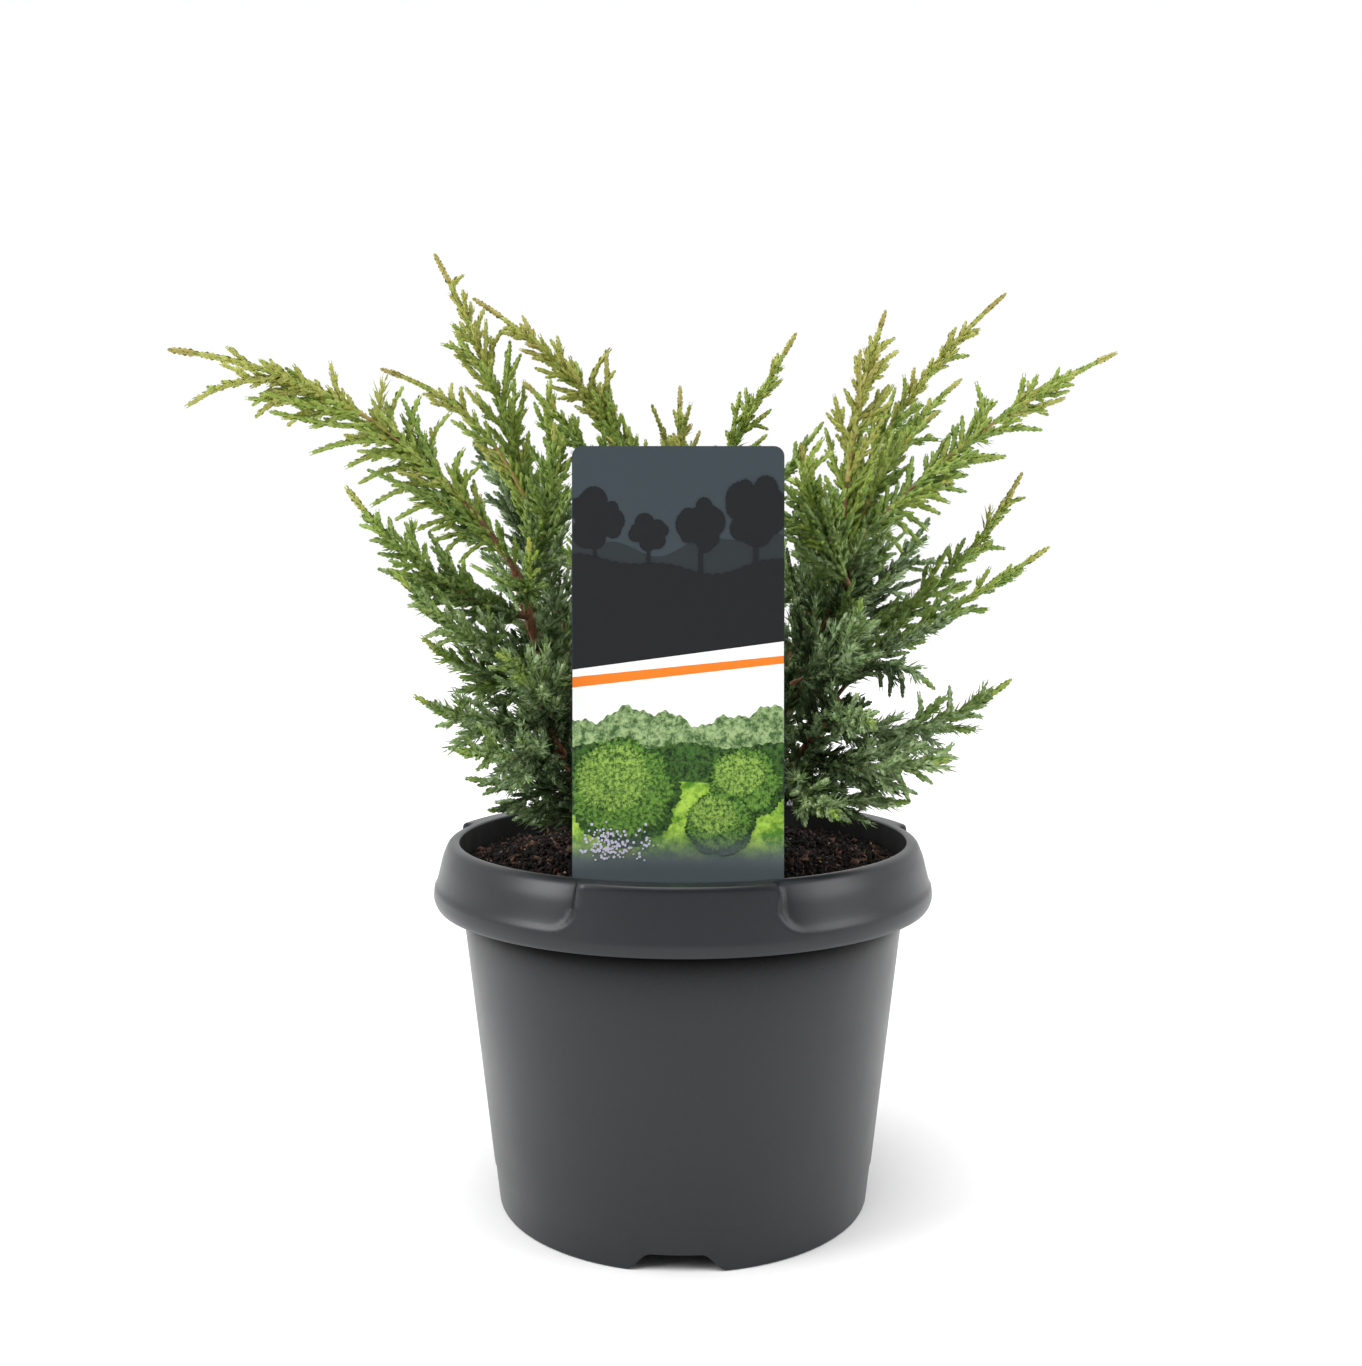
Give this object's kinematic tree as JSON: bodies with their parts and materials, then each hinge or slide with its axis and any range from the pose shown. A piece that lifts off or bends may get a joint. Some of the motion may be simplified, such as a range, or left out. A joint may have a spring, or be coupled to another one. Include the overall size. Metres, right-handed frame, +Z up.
{
  "type": "potted blaauw chinese juniper",
  "caption": "Young spreading juniper shrub with feathery green sprays on a short forked trunk, in a round grey nursery pot with a deep collar and a card label at the front.",
  "frame": {"origin": "on the ground under the middle of the plant, which is the pot's own axis", "axes": "+Z up along the pot's axis, -Y towards the label at the front, +X to the right as the label is read"},
  "size_m": [0.3388, 0.2115, 0.366],
  "materials": {
    "pot_grey": "moulded polypropylene, satin, anthracite grey",
    "compost_brown": "moist bark and peat compost, matt",
    "label_card": "printed plastic card, smooth",
    "bark_brown": "thin stringy red-brown bark",
    "foliage_fresh": "scale leaves, fresh yellow-green",
    "foliage_green": "scale leaves, mid green",
    "foliage_blue": "scale and needle leaves, deep grey-green"
  },
  "bodies": {
    "root": {"bough_back": "bark_brown", "bough_back_left": "bark_brown", "bough_back_right": "bark_brown", "bough_front": "bark_brown", "bough_front_left": "bark_brown", "bough_front_right": "bark_brown", "bough_left": "bark_brown", "bough_middle": "bark_brown", "bough_right": "bark_brown", "compost": "compost_brown", "foliage_back_1": "foliage_green", "foliage_back_2": "foliage_fresh", "foliage_back_3": "foliage_fresh", "foliage_back_4": "foliage_green", "foliage_back_5": "foliage_blue", "foliage_back_6": "foliage_blue", "foliage_back_7": "foliage_blue", "foliage_back_left_1": "foliage_fresh", "foliage_back_left_2": "foliage_fresh", "foliage_back_left_3": "foliage_green", "foliage_back_left_4": "foliage_green", "foliage_back_right_1": "foliage_fresh", "foliage_back_right_2": "foliage_green", "foliage_back_right_3": "foliage_green", "foliage_front_1": "foliage_green", "foliage_front_2": "foliage_green", "foliage_front_left_1": "foliage_blue", "foliage_front_left_2": "foliage_blue", "foliage_front_left_3": "foliage_blue", "foliage_front_left_4": "foliage_blue", "foliage_front_left_5": "foliage_blue", "foliage_front_right_1": "foliage_blue", "foliage_front_right_2": "foliage_blue", "foliage_front_right_3": "foliage_blue", "foliage_front_right_4": "foliage_blue", "foliage_front_right_5": "foliage_blue", "foliage_front_right_6": "foliage_blue", "foliage_front_right_7": "foliage_blue", "foliage_left_1": "foliage_fresh", "foliage_left_2": "foliage_green", "foliage_left_3": "foliage_green", "foliage_left_4": "foliage_blue", "foliage_left_5": "foliage_green", "foliage_left_6": "foliage_green", "foliage_middle_1": "foliage_fresh", "foliage_middle_2": "foliage_green", "foliage_middle_3": "foliage_green", "foliage_middle_4": "foliage_green", "foliage_middle_5": "foliage_green", "foliage_middle_6": "foliage_green", "foliage_right_1": "foliage_fresh", "foliage_right_2": "foliage_fresh", "foliage_right_3": "foliage_fresh", "foliage_right_4": "foliage_green", "foliage_right_5": "foliage_green", "foliage_right_6": "foliage_blue", "foliage_right_7": "foliage_fresh", "label": "label_card", "pot": "pot_grey", "trunk": "bark_brown"}
  },
  "joints": []
}
